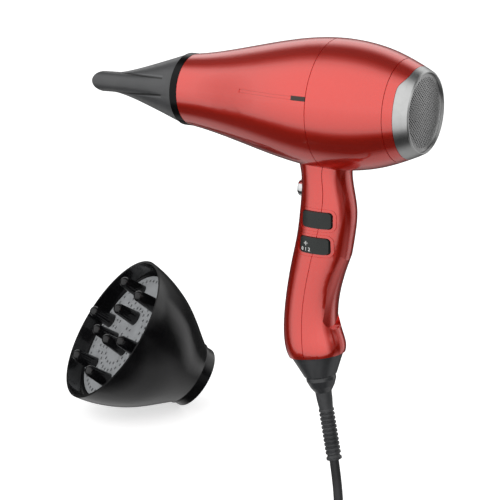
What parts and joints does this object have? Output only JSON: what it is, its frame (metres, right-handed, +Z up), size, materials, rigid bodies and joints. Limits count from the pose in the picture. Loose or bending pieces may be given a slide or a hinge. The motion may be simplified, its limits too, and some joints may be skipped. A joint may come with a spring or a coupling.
{
  "type": "hair dryer",
  "caption": "Hand-held hair dryer: barrel with concentrator nozzle and lift-off filter cap, grip with rocker switches and push button, cord on a swivel, loose finger diffuser",
  "frame": {"origin": "middle of the grip, where the hand closes round it", "axes": "+X back along the barrel from the air outlet to the intake, +Z up along the grip to the barrel, -Y the side with the switches"},
  "size_m": [0.3974, 0.377, 0.3489],
  "materials": {
    "armature": "laminated steel",
    "cold_shot_button": "bright chrome",
    "cold_shot_spring": "spring wire",
    "cold_shot_switch": "black switch block",
    "cord": "black round flex",
    "cord_coil": "black round flex",
    "cord_tail": "black round flex",
    "cord_tie": "black strap",
    "diffuser_bowl": "glossy black",
    "diffuser_collar": "glossy black",
    "diffuser_fingers": "glossy black",
    "diffuser_plate": "satin grey",
    "fan": "glass-filled nylon",
    "front_housing": "metallic candy red, high gloss",
    "heat_rocker": "satin dark grey",
    "heat_rocker_pin": "steel pin",
    "heat_switch": "black switch block",
    "heater_boards": "mica sheet",
    "heater_coil": "resistance wire",
    "heater_tube": "rolled mica sheet",
    "intake_collar": "metallic candy red, high gloss",
    "intake_filter": "dark fleece",
    "intake_guard": "black nylon",
    "intake_mesh": "fine grey mesh",
    "intake_trim_ring": "satin silver",
    "motor_bearings": "sintered bronze",
    "motor_can": "drawn steel can",
    "motor_end_cap": "nylon brush holder",
    "motor_magnets": "ferrite",
    "motor_mount": "black nylon",
    "motor_mount_screws": "zinc-plated screws",
    "motor_shaft": "ground steel",
    "nozzle": "satin dark grey",
    "nozzle_clip_ring": "glossy black",
    "outlet_grille": "heat-resistant black",
    "outlet_ring": "glossy black",
    "plug_body": "black moulded plug",
    "plug_pins": "plated pins",
    "plug_relief": "black rubber",
    "rear_housing": "metallic candy red, high gloss",
    "slip_ring_block": "black contact block",
    "speed_rocker": "satin dark grey",
    "speed_rocker_pin": "steel pin",
    "speed_switch": "black switch block",
    "strain_relief": "black rubber",
    "swivel_bell": "satin black",
    "swivel_clip": "spring steel",
    "swivel_socket": "satin black",
    "thermal_fuse": "axial fuse body",
    "thermostat": "bimetal thermostat",
    "trim_inset": "dark satin inset",
    "wiring_leads": "insulated leads"
  },
  "bodies": {
    "housing": {"cold_shot_spring": "cold_shot_spring", "cold_shot_switch": "cold_shot_switch", "cord": "cord", "cord_coil": "cord_coil", "cord_tail": "cord_tail", "cord_tie": "cord_tie", "front_housing": "front_housing", "heat_rocker_pin": "heat_rocker_pin", "heat_switch": "heat_switch", "heater_boards": "heater_boards", "heater_coil": "heater_coil", "heater_tube": "heater_tube", "intake_collar": "intake_collar", "intake_guard": "intake_guard", "motor_bearings": "motor_bearings", "motor_can": "motor_can", "motor_end_cap": "motor_end_cap", "motor_magnets": "motor_magnets", "motor_mount": "motor_mount", "motor_mount_screws": "motor_mount_screws", "outlet_grille": "outlet_grille", "outlet_ring": "outlet_ring", "plug_body": "plug_body", "plug_pins": "plug_pins", "plug_relief": "plug_relief", "rear_housing": "rear_housing", "slip_ring_block": "slip_ring_block", "speed_rocker_pin": "speed_rocker_pin", "speed_switch": "speed_switch", "swivel_socket": "swivel_socket", "thermal_fuse": "thermal_fuse", "thermostat": "thermostat", "trim_inset": "trim_inset", "wiring_leads": "wiring_leads"},
    "rotor": {"motor_shaft": "motor_shaft", "armature": "armature", "fan": "fan"},
    "filter_cap": {"intake_trim_ring": "intake_trim_ring", "intake_mesh": "intake_mesh", "intake_filter": "intake_filter"},
    "heat_rocker": {"heat_rocker": "heat_rocker"},
    "speed_rocker": {"speed_rocker": "speed_rocker"},
    "cold_shot_button": {"cold_shot_button": "cold_shot_button"},
    "swivel": {"swivel_bell": "swivel_bell", "swivel_clip": "swivel_clip", "strain_relief": "strain_relief"},
    "nozzle_clip_ring": {"nozzle_clip_ring": "nozzle_clip_ring"},
    "nozzle": {"nozzle": "nozzle"},
    "diffuser": {"diffuser_bowl": "diffuser_bowl", "diffuser_collar": "diffuser_collar", "diffuser_plate": "diffuser_plate", "diffuser_fingers": "diffuser_fingers"}
  },
  "joints": [
    {"name": "fan_spin", "type": "hinge", "parent": "housing", "child": "rotor", "pos_m": [0, 0, 0.107], "axis": [1, 0, 0], "continuous": true},
    {"name": "filter_cap_pull", "type": "slide", "parent": "housing", "child": "filter_cap", "axis": [1, 0, 0], "range_m": [0, 0.03]},
    {"name": "heat_rock", "type": "hinge", "parent": "housing", "child": "heat_rocker", "pos_m": [0.005, -0.01148, 0.0317], "axis": [0, 0, 1], "range_deg": [-6, 6]},
    {"name": "speed_rock", "type": "hinge", "parent": "housing", "child": "speed_rocker", "pos_m": [0.0035, -0.01159, 0.0142], "axis": [0, 0, 1], "range_deg": [-6, 6]},
    {"name": "cold_shot_press", "type": "slide", "parent": "housing", "child": "cold_shot_button", "axis": [1, 0, 0], "range_m": [0, 0.002], "stiffness_N_per_m": 300, "deforming": ["cold_shot_spring"]},
    {"name": "cord_swivel", "type": "hinge", "parent": "housing", "child": "swivel", "pos_m": [-0.0019, 0, -0.0666], "axis": [0.1908, 0, -0.9816], "continuous": true},
    {"name": "nozzle_pull", "type": "slide", "parent": "housing", "child": "nozzle_clip_ring", "axis": [-1, 0, 0], "range_m": [0, 0.03]},
    {"name": "nozzle_turn", "type": "hinge", "parent": "nozzle_clip_ring", "child": "nozzle", "pos_m": [-0.105, 0, 0.107], "axis": [1, 0, 0], "continuous": true},
    {"name": "diffuser_lift", "type": "slide", "parent": "housing", "child": "diffuser", "axis": [0, 0, 1], "range_m": [0, 0.12]}
  ]
}
